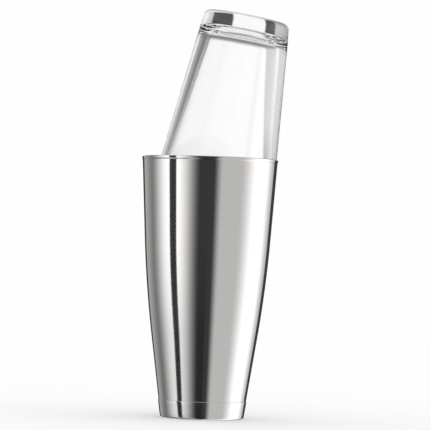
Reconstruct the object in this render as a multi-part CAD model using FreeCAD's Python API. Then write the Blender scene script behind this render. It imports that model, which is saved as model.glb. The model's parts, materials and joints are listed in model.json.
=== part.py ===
import FreeCAD, Part
import math
import os

# Two-piece bar shaker: a weighted steel mixing tin, and a mixing glass wedged upside down in its mouth.
#
# Frame: millimetres, +Z up along the tin's axis, origin at the centre of the ring that the tin stands on.
# The glass leans towards +X. One side of its wall lies against the tin's rim, and its own rim is gripped
# by the tapering wall below, as when the two halves have just been knocked together.
#
# Pieces: tin_body (drawn shell), base_cap (outer cup welded over its foot), base_weight (the disc sealed
# between those two) and mixing_glass (pressed, tempered glass in one piece).

# Tin: an outer wall of two cones, with a long arc between them.
TIN_HEIGHT = 175.0
TIN_RIM_RADIUS = 46.0
TIN_KNEE_HEIGHT = 88.0
TIN_KNEE_RADIUS = 40.75
TIN_FOOT_RADIUS = 28.0  # the lower cone, carried down to the table
TIN_BARREL_RADIUS = 774.0
TIN_SHEET = 0.7
TIN_FLOOR_CORNER = 3.0
RIM_BEAD_HEIGHT = 2.4
RIM_BEAD_PROUD = 0.25

# Weighted base.
CAP_HEIGHT = 12.0
CAP_SHEET = 0.35
CAP_CORNER = 1.5
CAP_GAP = 0.03  # room for the solder between cap and shell
FOOT_RING_WIDTH = 4.0
FOOT_RECESS = 0.8
WEIGHT_THICKNESS = 3.0
WEIGHT_EDGE_GAP = 2.0
WEIGHT_EDGE_ROUND = 0.4

# Glass, as it stands upright on its own base.
GLASS_HEIGHT = 136.0
GLASS_BASE_RADIUS = 29.2  # where the outer wall would meet the base plane if the heel were sharp
GLASS_RIM_RADIUS = 42.5
GLASS_HEEL = 3.5
GLASS_LIP = 2.7  # wall thickness at the rim
GLASS_LIP_ROUND = 1.25
GLASS_FOOT_WALL = 6.8  # wall thickness at the inside floor
GLASS_FLOOR = 9.5  # thickness of the solid base
GLASS_FLOOR_CORNER = 10.0
PUNT_RADIUS = 23.5
PUNT_DEPTH = 1.2
PUNT_SLOPE = 3.6

# How the glass sits in the tin.
GLASS_TILT = 9.1  # degrees from upright
GLASS_STAND = 95.9  # from the tin's rim up to the centre of the glass's base
GLASS_CLEARANCE = 0.15

CENTRE = FreeCAD.Vector(0, 0, 0)
UP = FreeCAD.Vector(0, 0, 1)
ACROSS = FreeCAD.Vector(0, 1, 0)


def rounded_outline(corners):
    """A closed wire through (radius, height, rounding) corners, with a tangent arc at each rounded one."""
    points = [FreeCAD.Vector(radius, 0, height) for radius, height, rounding in corners]
    arrivals = []
    departures = []
    arcs = []
    for i, here in enumerate(points):
        rounding = corners[i][2]
        if not rounding:
            arrivals.append(here)
            departures.append(here)
            arcs.append(None)
            continue
        back = points[i - 1].sub(here).normalize()
        ahead = points[(i + 1) % len(points)].sub(here).normalize()
        half = back.getAngle(ahead) / 2
        arrival = here + back * (rounding / math.tan(half))
        departure = here + ahead * (rounding / math.tan(half))
        middle = here + (back + ahead).normalize() * (rounding / math.sin(half) - rounding)
        arrivals.append(arrival)
        departures.append(departure)
        arcs.append(Part.Arc(arrival, middle, departure).toShape())
    edges = []
    for i, arc in enumerate(arcs):
        if arc:
            edges.append(arc)
        following = arrivals[(i + 1) % len(points)]
        edges.append(Part.LineSegment(departures[i], following).toShape())
    return Part.Wire(edges)


def turned(corners):
    """The solid that a half outline makes when it is turned about the vertical axis."""
    return Part.Face(rounded_outline(corners)).revolve(CENTRE, UP, 360)


def wall_radius(height):
    """Outer radius of the tin's two cones at a height, leaving out the arc between them."""
    if height < TIN_KNEE_HEIGHT:
        return TIN_FOOT_RADIUS + (TIN_KNEE_RADIUS - TIN_FOOT_RADIUS) * height / TIN_KNEE_HEIGHT
    rise = (height - TIN_KNEE_HEIGHT) / (TIN_HEIGHT - TIN_KNEE_HEIGHT)
    return TIN_KNEE_RADIUS + (TIN_RIM_RADIUS - TIN_KNEE_RADIUS) * rise


LOWER_SLOPE = math.atan((TIN_KNEE_RADIUS - TIN_FOOT_RADIUS) / TIN_KNEE_HEIGHT)
UPPER_SLOPE = math.atan((TIN_RIM_RADIUS - TIN_KNEE_RADIUS) / (TIN_HEIGHT - TIN_KNEE_HEIGHT))
CAP_FLOOR_TOP = FOOT_RECESS + CAP_SHEET
SHELL_BOTTOM = CAP_FLOOR_TOP + WEIGHT_THICKNESS
GLASS_TAPER = (GLASS_RIM_RADIUS - GLASS_BASE_RADIUS) / GLASS_HEIGHT


def tin_body():
    """The drawn shell: flat floor, barrel-shaped wall and a slight flattened bead round the mouth."""
    shell_floor = SHELL_BOTTOM + TIN_SHEET
    bead_foot = TIN_HEIGHT - RIM_BEAD_HEIGHT
    bead_crest = bead_foot + RIM_BEAD_HEIGHT / 4
    mid_slope = (LOWER_SLOPE + UPPER_SLOPE) / 2
    knee_inset = TIN_SHEET / math.cos((LOWER_SLOPE - UPPER_SLOPE) / 2)
    inner_knee_radius = TIN_KNEE_RADIUS - knee_inset * math.cos(mid_slope)
    inner_knee_height = TIN_KNEE_HEIGHT + knee_inset * math.sin(mid_slope)
    inner_foot_radius = wall_radius(shell_floor) - TIN_SHEET / math.cos(LOWER_SLOPE)
    return turned([
        (0, SHELL_BOTTOM, 0),
        (wall_radius(SHELL_BOTTOM), SHELL_BOTTOM, TIN_FLOOR_CORNER),
        (TIN_KNEE_RADIUS, TIN_KNEE_HEIGHT, TIN_BARREL_RADIUS),
        (wall_radius(bead_foot), bead_foot, 0.8),
        (wall_radius(bead_crest) + RIM_BEAD_PROUD, bead_crest, 0.8),
        (TIN_RIM_RADIUS + RIM_BEAD_PROUD, TIN_HEIGHT, 0.45),
        (TIN_RIM_RADIUS - TIN_SHEET / math.cos(UPPER_SLOPE), TIN_HEIGHT, 0.3),
        (inner_knee_radius, inner_knee_height, TIN_BARREL_RADIUS - TIN_SHEET),
        (inner_foot_radius, shell_floor, TIN_FLOOR_CORNER - TIN_SHEET),
        (0, shell_floor, 0),
    ])


def base_cap():
    """The outer cup: its wall hugs the shell, and its floor is drawn up inside a narrow standing ring."""
    inside = CAP_GAP / math.cos(LOWER_SLOPE)
    outside = (CAP_GAP + CAP_SHEET) / math.cos(LOWER_SLOPE)
    ring_inner = TIN_FOOT_RADIUS + outside - CAP_CORNER - FOOT_RING_WIDTH
    return turned([
        (0, FOOT_RECESS, 0),
        (ring_inner - FOOT_RECESS, FOOT_RECESS, 0.6),
        (ring_inner, 0, 0.6),
        (TIN_FOOT_RADIUS + outside, 0, CAP_CORNER),
        (wall_radius(CAP_HEIGHT) + outside, CAP_HEIGHT, 0.15),
        (wall_radius(CAP_HEIGHT) + inside, CAP_HEIGHT, 0.1),
        (wall_radius(CAP_SHEET) + inside, CAP_SHEET, CAP_CORNER - CAP_SHEET),
        (ring_inner, CAP_SHEET, 0.5),
        (ring_inner - FOOT_RECESS, CAP_FLOOR_TOP, 0.5),
        (0, CAP_FLOOR_TOP, 0),
    ])


def base_weight():
    """The plain steel disc that the cap holds under the shell's floor."""
    radius = wall_radius(CAP_FLOOR_TOP) - WEIGHT_EDGE_GAP
    return turned([
        (0, CAP_FLOOR_TOP, 0),
        (radius, CAP_FLOOR_TOP, WEIGHT_EDGE_ROUND),
        (radius, SHELL_BOTTOM, WEIGHT_EDGE_ROUND),
        (0, SHELL_BOTTOM, 0),
    ])


def upright_glass():
    """The glass standing on its base: thick foot with a shallow punt, tapering wall, rounded lip."""
    inner_floor_radius = GLASS_BASE_RADIUS + GLASS_TAPER * GLASS_FLOOR - GLASS_FOOT_WALL
    return turned([
        (0, PUNT_DEPTH, 0),
        (PUNT_RADIUS - PUNT_SLOPE, PUNT_DEPTH, 6.0),
        (PUNT_RADIUS, 0, 1.0),
        (GLASS_BASE_RADIUS, 0, GLASS_HEEL),
        (GLASS_RIM_RADIUS, GLASS_HEIGHT, GLASS_LIP_ROUND),
        (GLASS_RIM_RADIUS - GLASS_LIP, GLASS_HEIGHT, GLASS_LIP_ROUND),
        (inner_floor_radius, GLASS_FLOOR, GLASS_FLOOR_CORNER),
        (0, GLASS_FLOOR, 0),
    ])


def glass_base_centre():
    """Where the centre of the upturned glass's base comes when its wall just clears the tin's rim."""
    tilt = math.radians(GLASS_TILT)
    rim_edge = TIN_RIM_RADIUS - TIN_SHEET / math.cos(UPPER_SLOPE)
    lean = GLASS_STAND * (GLASS_TAPER * math.cos(tilt) - math.sin(tilt))
    reach = (GLASS_BASE_RADIUS + GLASS_CLEARANCE + lean) / (math.cos(tilt) + GLASS_TAPER * math.sin(tilt))
    return FreeCAD.Vector(rim_edge - reach, 0, TIN_HEIGHT + GLASS_STAND)


def mixing_glass():
    """The glass turned over, leaned towards +X and set into the tin."""
    glass = upright_glass()
    glass.Placement = FreeCAD.Placement(glass_base_centre(), FreeCAD.Rotation(ACROSS, 180 + GLASS_TILT))
    return glass


PIECES = {
    "tin_body": tin_body,
    "base_cap": base_cap,
    "base_weight": base_weight,
    "mixing_glass": mixing_glass,
}

os.makedirs("parts", exist_ok=True)
for name, make in PIECES.items():
    shape = make()
    shape.exportStep(f"parts/{name}.step")
    print(f"{name}: {shape.Volume / 1000:.1f} cm3, {'valid' if shape.isValid() else 'not valid'}")
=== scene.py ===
import json
import math

import bpy
from mathutils import Matrix, Vector


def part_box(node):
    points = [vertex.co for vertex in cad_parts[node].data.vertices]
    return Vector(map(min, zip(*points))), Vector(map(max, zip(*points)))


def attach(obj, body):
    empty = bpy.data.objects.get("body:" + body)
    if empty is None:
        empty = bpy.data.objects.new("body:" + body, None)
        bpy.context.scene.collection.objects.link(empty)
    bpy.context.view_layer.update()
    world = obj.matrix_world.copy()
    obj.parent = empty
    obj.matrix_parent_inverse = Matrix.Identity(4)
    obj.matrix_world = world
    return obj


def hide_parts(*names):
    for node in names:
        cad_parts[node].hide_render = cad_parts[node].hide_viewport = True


# A weighted steel mixing tin with a thick-based mixing glass wedged upside down in its mouth.
# Metres, in the row frame: +Z up along the tin's axis, the glass leans towards +X.

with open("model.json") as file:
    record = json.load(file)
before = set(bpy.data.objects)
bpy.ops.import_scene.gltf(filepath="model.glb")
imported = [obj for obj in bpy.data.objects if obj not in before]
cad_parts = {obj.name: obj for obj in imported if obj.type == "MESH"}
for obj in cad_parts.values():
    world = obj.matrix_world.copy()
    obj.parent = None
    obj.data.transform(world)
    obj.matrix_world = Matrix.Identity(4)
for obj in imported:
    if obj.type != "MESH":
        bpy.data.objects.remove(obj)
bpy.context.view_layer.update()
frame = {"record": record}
mounts = {mount["name"]: mount for mount in frame["record"]["mounts"]}

MM = 0.001
DEGREE = math.pi / 180

# Tin, as in the CAD part.
TIN_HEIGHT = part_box("tin_body")[1].z
TIN_RIM_RADIUS = 46.0 * MM
TIN_KNEE_HEIGHT = 88.0 * MM
TIN_KNEE_RADIUS = 40.75 * MM
TIN_FOOT_RADIUS = 28.0 * MM
TIN_BARREL_RADIUS = 774.0 * MM
TIN_SHEET = 0.7 * MM
TIN_FLOOR_CORNER = 3.0 * MM
RIM_BEAD_HEIGHT = 2.4 * MM
RIM_BEAD_PROUD = 0.25 * MM
RIM_BEAD_ROUND = 0.8 * MM
RIM_OUTER_ROUND = 0.45 * MM
RIM_INNER_ROUND = 0.3 * MM

# Weighted base.
SHELL_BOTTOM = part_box("tin_body")[0].z
CAP_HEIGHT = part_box("base_cap")[1].z
CAP_SHEET = 0.35 * MM
CAP_CORNER = 1.5 * MM
CAP_GAP = 0.03 * MM
FOOT_RING_WIDTH = 4.0 * MM
FOOT_RECESS = 0.8 * MM
CAP_RIM_OUTER_ROUND = 0.15 * MM
CAP_RIM_INNER_ROUND = 0.1 * MM
RECESS_OUTER_ROUND = 0.6 * MM
RECESS_INNER_ROUND = 0.5 * MM
WEIGHT_EDGE_ROUND = 0.4 * MM

# Glass, upright on its own base.
GLASS_HEIGHT = 136.0 * MM
GLASS_BASE_RADIUS = 29.2 * MM
GLASS_RIM_RADIUS = 42.5 * MM
GLASS_HEEL = 3.5 * MM
GLASS_LIP = 2.7 * MM
GLASS_LIP_ROUND = 1.25 * MM
GLASS_FOOT_WALL = 6.8 * MM
GLASS_FLOOR = 9.5 * MM
GLASS_FLOOR_CORNER = 10.0 * MM
PUNT_RADIUS = 23.5 * MM
PUNT_DEPTH = 1.2 * MM
PUNT_SLOPE = 3.6 * MM
PUNT_INNER_ROUND = 6.0 * MM
PUNT_EDGE_ROUND = 1.0 * MM

# Camera, measured from the tin's axis.
CAMERA_DISTANCE = 1.82
CAMERA_HEIGHT = 105.6 * MM
CAMERA_ASIDE = 4.64 * MM
CAMERA_PITCH = 0.985 * DEGREE
CAMERA_ROLL = 1.885 * DEGREE
CAMERA_LENS = 225.9

# Mesh fineness.
RING_STEPS = 192
ARC_STEP = 7 * DEGREE
RUN_STEP = 3.0 * MM

LOWER_SLOPE = math.atan((TIN_KNEE_RADIUS - TIN_FOOT_RADIUS) / TIN_KNEE_HEIGHT)
UPPER_SLOPE = math.atan((TIN_RIM_RADIUS - TIN_KNEE_RADIUS) / (TIN_HEIGHT - TIN_KNEE_HEIGHT))
CAP_FLOOR_TOP = FOOT_RECESS + CAP_SHEET
GLASS_TAPER = (GLASS_RIM_RADIUS - GLASS_BASE_RADIUS) / GLASS_HEIGHT


# ---------------------------------------------------------------- meshes

def run(start, end):
    """Points along a straight run, both ends left out."""
    steps = max(1, round((end - start).length / RUN_STEP))
    return [start.lerp(end, i / steps) for i in range(1, steps)]


def arc(corner, back, ahead, radius):
    """Points of the arc that rounds a corner between two unit directions."""
    half = back.angle(ahead) / 2
    turn = math.pi - 2 * half
    middle = corner + (back + ahead).normalized() * (radius / math.sin(half))
    start = corner + back * (radius / math.tan(half))
    side = -1 if back.cross(ahead) > 0 else 1
    steps = max(2, math.ceil(turn / ARC_STEP), math.ceil(turn * radius / RUN_STEP))
    points = []
    for i in range(steps + 1):
        spoke = start - middle
        spoke.rotate(Matrix.Rotation(side * turn * i / steps, 2))
        points.append(middle + spoke)
    return points


def outline(corners):
    """Half outline through (radius, height, rounding) corners, from the axis back to the axis."""
    places = [Vector(corner[:2]) for corner in corners]
    points = [places[0]]
    for i in range(1, len(places)):
        rounding = corners[i][2]
        if rounding:
            back = (places[i - 1] - places[i]).normalized()
            ahead = (places[i + 1] - places[i]).normalized()
            bend = arc(places[i], back, ahead, rounding)
        else:
            bend = [places[i]]
        points += run(points[-1], bend[0]) + bend
    return points


def lathe(name, points):
    """A closed smooth mesh: the outline turned about the object's own Z axis."""
    verts = [(0, 0, points[0].y)]
    for point in points[1:-1]:
        for i in range(RING_STEPS):
            angle = 2 * math.pi * i / RING_STEPS
            verts.append((point.x * math.cos(angle), point.x * math.sin(angle), point.y))
    verts.append((0, 0, points[-1].y))
    rings = len(points) - 2
    last = len(verts) - 1
    faces = []
    for i in range(RING_STEPS):
        j = (i + 1) % RING_STEPS
        faces.append((0, 1 + j, 1 + i))
        for ring in range(rings - 1):
            low = 1 + ring * RING_STEPS
            high = low + RING_STEPS
            faces.append((low + i, low + j, high + j, high + i))
        faces.append((last - RING_STEPS + i, last - RING_STEPS + j, last))
    mesh = bpy.data.meshes.new(name)
    mesh.from_pydata(verts, [], faces)
    mesh.shade_smooth()
    obj = bpy.data.objects.new(name, mesh)
    bpy.context.collection.objects.link(obj)
    return obj


# ---------------------------------------------------------------- pieces

def wall_radius(height):
    """Outer radius of the tin's two cones at a height, leaving out the arc between them."""
    if height < TIN_KNEE_HEIGHT:
        return TIN_FOOT_RADIUS + (TIN_KNEE_RADIUS - TIN_FOOT_RADIUS) * height / TIN_KNEE_HEIGHT
    rise = (height - TIN_KNEE_HEIGHT) / (TIN_HEIGHT - TIN_KNEE_HEIGHT)
    return TIN_KNEE_RADIUS + (TIN_RIM_RADIUS - TIN_KNEE_RADIUS) * rise


def make_tin_shell():
    shell_floor = SHELL_BOTTOM + TIN_SHEET
    bead_foot = TIN_HEIGHT - RIM_BEAD_HEIGHT
    bead_crest = bead_foot + RIM_BEAD_HEIGHT / 4
    mid_slope = (LOWER_SLOPE + UPPER_SLOPE) / 2
    knee_inset = TIN_SHEET / math.cos((LOWER_SLOPE - UPPER_SLOPE) / 2)
    inner_knee_radius = TIN_KNEE_RADIUS - knee_inset * math.cos(mid_slope)
    inner_knee_height = TIN_KNEE_HEIGHT + knee_inset * math.sin(mid_slope)
    inner_foot_radius = wall_radius(shell_floor) - TIN_SHEET / math.cos(LOWER_SLOPE)
    return lathe("tin_shell", outline([
        (0, SHELL_BOTTOM, 0),
        (wall_radius(SHELL_BOTTOM), SHELL_BOTTOM, TIN_FLOOR_CORNER),
        (TIN_KNEE_RADIUS, TIN_KNEE_HEIGHT, TIN_BARREL_RADIUS),
        (wall_radius(bead_foot), bead_foot, RIM_BEAD_ROUND),
        (wall_radius(bead_crest) + RIM_BEAD_PROUD, bead_crest, RIM_BEAD_ROUND),
        (TIN_RIM_RADIUS + RIM_BEAD_PROUD, TIN_HEIGHT, RIM_OUTER_ROUND),
        (TIN_RIM_RADIUS - TIN_SHEET / math.cos(UPPER_SLOPE), TIN_HEIGHT, RIM_INNER_ROUND),
        (inner_knee_radius, inner_knee_height, TIN_BARREL_RADIUS - TIN_SHEET),
        (inner_foot_radius, shell_floor, TIN_FLOOR_CORNER - TIN_SHEET),
        (0, shell_floor, 0),
    ]))


def make_base_cup():
    inside = CAP_GAP / math.cos(LOWER_SLOPE)
    outside = (CAP_GAP + CAP_SHEET) / math.cos(LOWER_SLOPE)
    ring_inner = TIN_FOOT_RADIUS + outside - CAP_CORNER - FOOT_RING_WIDTH
    return lathe("base_cup", outline([
        (0, FOOT_RECESS, 0),
        (ring_inner - FOOT_RECESS, FOOT_RECESS, RECESS_OUTER_ROUND),
        (ring_inner, 0, RECESS_OUTER_ROUND),
        (TIN_FOOT_RADIUS + outside, 0, CAP_CORNER),
        (wall_radius(CAP_HEIGHT) + outside, CAP_HEIGHT, CAP_RIM_OUTER_ROUND),
        (wall_radius(CAP_HEIGHT) + inside, CAP_HEIGHT, CAP_RIM_INNER_ROUND),
        (wall_radius(CAP_SHEET) + inside, CAP_SHEET, CAP_CORNER - CAP_SHEET),
        (ring_inner, CAP_SHEET, RECESS_INNER_ROUND),
        (ring_inner - FOOT_RECESS, CAP_FLOOR_TOP, RECESS_INNER_ROUND),
        (0, CAP_FLOOR_TOP, 0),
    ]))


def make_base_disc():
    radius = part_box("base_weight")[1].x
    return lathe("base_disc", outline([
        (0, CAP_FLOOR_TOP, 0),
        (radius, CAP_FLOOR_TOP, WEIGHT_EDGE_ROUND),
        (radius, SHELL_BOTTOM, WEIGHT_EDGE_ROUND),
        (0, SHELL_BOTTOM, 0),
    ]))


def make_glass():
    """The glass, turned over and leaned as the frame's own base mount says."""
    inner_floor_radius = GLASS_BASE_RADIUS + GLASS_TAPER * GLASS_FLOOR - GLASS_FOOT_WALL
    glass = lathe("glass_moulding", outline([
        (0, PUNT_DEPTH, 0),
        (PUNT_RADIUS - PUNT_SLOPE, PUNT_DEPTH, PUNT_INNER_ROUND),
        (PUNT_RADIUS, 0, PUNT_EDGE_ROUND),
        (GLASS_BASE_RADIUS, 0, GLASS_HEEL),
        (GLASS_RIM_RADIUS, GLASS_HEIGHT, GLASS_LIP_ROUND),
        (GLASS_RIM_RADIUS - GLASS_LIP, GLASS_HEIGHT, GLASS_LIP_ROUND),
        (inner_floor_radius, GLASS_FLOOR, GLASS_FLOOR_CORNER),
        (0, GLASS_FLOOR, 0),
    ]))
    foot = mounts["glass_base"]
    tilt = math.atan2(foot["axis"][0], foot["axis"][2])
    place = Matrix.Translation(foot["pos_m"]) @ Matrix.Rotation(math.pi + tilt, 4, "Y")
    glass.data.transform(place)
    return glass


# ---------------------------------------------------------------- materials

def new_material(name):
    material = bpy.data.materials.new(name)
    material.use_nodes = True
    return material, material.node_tree, material.node_tree.nodes["Principled BSDF"]


def add(tree, kind, **inputs):
    """A node, with some of its inputs set."""
    node = tree.nodes.new(kind)
    for key, value in inputs.items():
        node.inputs[key.replace("_", " ")].default_value = value
    return node


def stretched_noise(tree, scale, detail):
    """Noise in object space, with its own scale along X, Y and Z."""
    where = tree.nodes.new("ShaderNodeTexCoord")
    mapping = add(tree, "ShaderNodeMapping", Scale=scale)
    noise = add(tree, "ShaderNodeTexNoise", Scale=1.0, Detail=detail)
    tree.links.new(where.outputs["Object"], mapping.inputs["Vector"])
    tree.links.new(mapping.outputs["Vector"], noise.inputs["Vector"])
    return noise.outputs["Fac"]


def map_range(tree, value, low, high):
    node = add(tree, "ShaderNodeMapRange", From_Min=0.3, From_Max=0.7, To_Min=low, To_Max=high)
    tree.links.new(value, node.inputs["Value"])
    return node.outputs["Result"]


def satin_steel(name):
    """Stainless steel with fine brushing that runs round the tin."""
    material, tree, shader = new_material(name)
    brushing = stretched_noise(tree, (6.0, 6.0, 2400.0), 3.0)
    wear = stretched_noise(tree, (30.0, 30.0, 30.0), 5.0)
    tint = tree.nodes.new("ShaderNodeMix")
    tint.data_type = "RGBA"
    tint.inputs["A"].default_value = (0.70, 0.69, 0.68, 1)
    tint.inputs["B"].default_value = (0.76, 0.752, 0.744, 1)
    tree.links.new(brushing, tint.inputs["Factor"])
    tree.links.new(tint.outputs["Result"], shader.inputs["Base Color"])
    blend = tree.nodes.new("ShaderNodeMath")
    blend.operation = "ADD"
    tree.links.new(map_range(tree, brushing, 0.07, 0.10), blend.inputs[0])
    tree.links.new(map_range(tree, wear, 0.0, 0.02), blend.inputs[1])
    tree.links.new(blend.outputs["Value"], shader.inputs["Roughness"])
    bump = add(tree, "ShaderNodeBump", Strength=0.15, Distance=0.00002)
    tree.links.new(brushing, bump.inputs["Height"])
    tree.links.new(bump.outputs["Normal"], shader.inputs["Normal"])
    tangent = tree.nodes.new("ShaderNodeTangent")
    tangent.direction_type = "RADIAL"
    tangent.axis = "Z"
    tree.links.new(tangent.outputs["Tangent"], shader.inputs["Tangent"])
    shader.inputs["Metallic"].default_value = 1.0
    shader.inputs["Anisotropic"].default_value = 0.8
    shader.inputs["Anisotropic Rotation"].default_value = 0.25
    return material


def clear_glass(name):
    """Pressed soda-lime glass: clear, with the faint waves that the mould leaves."""
    material, tree, shader = new_material(name)
    waves = stretched_noise(tree, (45.0, 45.0, 20.0), 1.0)
    smears = stretched_noise(tree, (90.0, 90.0, 60.0), 4.0)
    bump = add(tree, "ShaderNodeBump", Strength=0.25, Distance=0.0002)
    tree.links.new(waves, bump.inputs["Height"])
    tree.links.new(bump.outputs["Normal"], shader.inputs["Normal"])
    tree.links.new(map_range(tree, smears, 0.0, 0.012), shader.inputs["Roughness"])
    shader.inputs["Base Color"].default_value = (0.996, 0.998, 0.997, 1)
    shader.inputs["Transmission Weight"].default_value = 1.0
    shader.inputs["IOR"].default_value = 1.52
    body = add(tree, "ShaderNodeVolumeAbsorption", Color=(0.5, 0.7, 0.6, 1), Density=1.6)
    tree.links.new(body.outputs["Volume"], tree.nodes["Material Output"].inputs["Volume"])
    return material


def matt_white(name):
    material, tree, shader = new_material(name)
    grain = stretched_noise(tree, (400.0, 400.0, 400.0), 2.0)
    tree.links.new(map_range(tree, grain, 0.9, 1.0), shader.inputs["Roughness"])
    shader.inputs["Base Color"].default_value = (0.9, 0.9, 0.9, 1)
    shader.inputs["Specular IOR Level"].default_value = 0.0
    return material


# ---------------------------------------------------------------- studio

BACKDROP = 0.99  # radiance of the plain white that surrounds the object
FLOOR_LIGHT = BACKDROP / 0.9
SURROUND = 0.05  # the unlit room
FLOOR_HALF = 6.0
REFLECTIONS = 10  # light leaves the deep, narrow tin only after many of them

# Softboxes on each side, by degrees round from the camera: (starts, full, fades, ends, brightness).
# Those that end past 180 run on behind the object, and the last one on each side is the lit backdrop.
LEFT_LIGHTS = [
    (14, 62, 58, 59, 1.5),
    (72, 73, 74, 120, 1.4),
    (90, 150, 190, 200, 0.45),
    (161, 162, 190, 200, 0.65),
]
RIGHT_LIGHTS = [
    (8, 24, 190, 200, 0.6),
    (55, 95, 110, 140, 0.9),
    (169, 170, 190, 200, 0.4),
]

# Dark cards at table height, a little forward of the backdrop: (starts, full, fades, ends, strength).
LEFT_CARDS = [(147, 149, 160, 161, 0.95)]
RIGHT_CARDS = [(140, 145, 168, 169, 0.95)]
CARD_DARK = 0.02
CARD_TOP = (0.06, 0.085)  # sines of the elevation over which a card ends
CARD_FOOT = (-0.35, -0.2)

LEAN = 50  # degrees that the left lights stand off plumb, well below the object
FALL_OFF = 4.0  # how fast the left lights dim below the object
FALL_OFF_LEAST = 0.5  # the least that is left of them
SIDES_END = (0.15, 0.38)  # sines of the elevation over which the side lights end
TOP_LIGHT_START = (0.48, 0.70)
FRONT_FILL = (25, 55)  # degrees over which the white seen through the glass from behind ends
FLOOR_FILL = (-0.40, -0.28)  # sines of the elevation over which the floor seen through the glass ends
THROUGH_GLASS = 1.02  # nothing behind the glass is brighter than this
TOP_LIGHT = 0.9
TOP_GAP = 0.2  # the ceiling seen between the side lights and the top light


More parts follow.
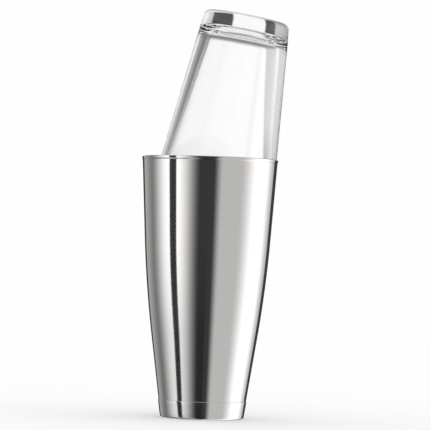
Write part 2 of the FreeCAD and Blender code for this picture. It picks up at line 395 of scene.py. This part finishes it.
def make_studio():
    """Softboxes and dark cards for reflections, plain white for the camera and the floor, and
    a white front and floor for what is seen through the glass."""
    world = bpy.data.worlds.new("studio")
    bpy.context.scene.world = world
    world.use_nodes = True
    world.cycles.sampling_method = "NONE"
    tree = world.node_tree
    tree.nodes.clear()

    def set_or_link(value, socket):
        if isinstance(value, bpy.types.NodeSocket):
            tree.links.new(value, socket)
        else:
            socket.default_value = value

    def calculate(operation, *values):
        node = tree.nodes.new("ShaderNodeMath")
        node.operation = operation
        for value, socket in zip(values, node.inputs):
            set_or_link(value, socket)
        return node.outputs["Value"]

    def ease(value, low, high, start, end):
        node = tree.nodes.new("ShaderNodeMapRange")
        node.interpolation_type = "SMOOTHSTEP"
        for setting, socket in zip((value, low, high, start, end), node.inputs):
            set_or_link(setting, socket)
        return node.outputs["Result"]

    def choose(factor, low, high):
        """low where the factor is 0, and high where it is 1."""
        return calculate("ADD", calculate("MULTIPLY", low, calculate("SUBTRACT", 1.0, factor)),
                         calculate("MULTIPLY", high, factor))

    def stretch(turn, spans, least):
        """The sum of the spans, each of them feathered at both of its ends."""
        total = least
        for starts, full, fades, ends, strength in spans:
            rise = ease(turn, starts, full, 0.0, strength)
            total = calculate("ADD", total, calculate("MULTIPLY", rise, ease(turn, fades, ends, 1.0, 0.0)))
        return total

    where = tree.nodes.new("ShaderNodeTexCoord")
    axes = tree.nodes.new("ShaderNodeSeparateXYZ")
    tree.links.new(where.outputs["Generated"], axes.inputs["Vector"])
    x, y, z = (axes.outputs[name] for name in "XYZ")
    angle = calculate("ARCTAN2", calculate("ABSOLUTE", x), calculate("MULTIPLY", y, -1.0))
    turn = calculate("DIVIDE", angle, DEGREE)
    # The left lights stand a little off plumb, and are dimmer near the floor.
    drop = calculate("POWER", calculate("MINIMUM", z, 0.0), 2.0)
    lean = calculate("MULTIPLY", calculate("SINE", angle), calculate("MULTIPLY", drop, LEAN))
    dim = calculate("SUBTRACT", 1.0, calculate("MULTIPLY", drop, FALL_OFF))
    dim = calculate("MAXIMUM", dim, FALL_OFF_LEAST)
    left = calculate("MULTIPLY", dim, stretch(calculate("ADD", turn, lean), LEFT_LIGHTS, SURROUND))
    right = stretch(turn, RIGHT_LIGHTS, SURROUND)
    is_right = calculate("GREATER_THAN", x, 0.0)
    around = choose(is_right, left, right)
    card = choose(is_right, stretch(turn, LEFT_CARDS, 0.0), stretch(turn, RIGHT_CARDS, 0.0))
    card_height = calculate("MULTIPLY", ease(z, *CARD_TOP, 1.0, 0.0), ease(z, *CARD_FOOT, 0.5, 1.0))
    around = choose(calculate("MULTIPLY", card, card_height), around, CARD_DARK)
    overhead = ease(z, *TOP_LIGHT_START, TOP_GAP, TOP_LIGHT)
    around = choose(ease(z, *SIDES_END, 0.0, 1.0), around, overhead)
    rays = tree.nodes.new("ShaderNodeLightPath")
    fill = choose(ease(turn, *FRONT_FILL, 1.0, 0.0), around, BACKDROP)
    fill = choose(ease(z, *FLOOR_FILL, 1.0, 0.0), fill, BACKDROP)
    through = calculate("MINIMUM", fill, THROUGH_GLASS)
    around = choose(rays.outputs["Is Transmission Ray"], around, through)
    lit = choose(rays.outputs["Is Diffuse Ray"], around, FLOOR_LIGHT)
    seen = choose(rays.outputs["Is Camera Ray"], lit, BACKDROP)
    background = tree.nodes.new("ShaderNodeBackground")
    output = tree.nodes.new("ShaderNodeOutputWorld")
    tree.links.new(seen, background.inputs["Color"])
    tree.links.new(background.outputs["Background"], output.inputs["Surface"])


def make_floor():
    mesh = bpy.data.meshes.new("floor")
    corners = [(-1, -1), (1, -1), (1, 1), (-1, 1)]
    mesh.from_pydata([(x * FLOOR_HALF, y * FLOOR_HALF, 0) for x, y in corners], [], [(0, 1, 2, 3)])
    floor = bpy.data.objects.new("floor", mesh)
    floor.visible_glossy = False
    floor.visible_transmission = False
    bpy.context.collection.objects.link(floor)
    mesh.materials.append(matt_white("floor_white"))


def make_camera():
    """A long lens a little above the tin's middle, looking up a touch and rolled slightly."""
    data = bpy.data.cameras.new("camera")
    data.lens = CAMERA_LENS
    camera = bpy.data.objects.new("camera", data)
    bpy.context.collection.objects.link(camera)
    place = Matrix.Translation((CAMERA_ASIDE, -CAMERA_DISTANCE, CAMERA_HEIGHT))
    aim = Matrix.Rotation(math.pi / 2 + CAMERA_PITCH, 4, "X")
    camera.matrix_world = place @ aim @ Matrix.Rotation(CAMERA_ROLL, 4, "Z")
    bpy.context.scene.camera = camera
    bpy.context.scene.view_settings.view_transform = "Standard"


# ---------------------------------------------------------------- build

def finish_piece(obj, node, body, material):
    obj.data.materials.append(material)
    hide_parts(node)
    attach(obj, body)


steel = satin_steel("satin_steel")
finish_piece(make_tin_shell(), "tin_body", "tin", steel)
finish_piece(make_base_cup(), "base_cap", "tin", steel)
finish_piece(make_base_disc(), "base_weight", "tin", steel)
finish_piece(make_glass(), "mixing_glass", "glass", clear_glass("clear_glass"))
make_studio()
make_floor()
make_camera()
bpy.context.scene.cycles.glossy_bounces = REFLECTIONS
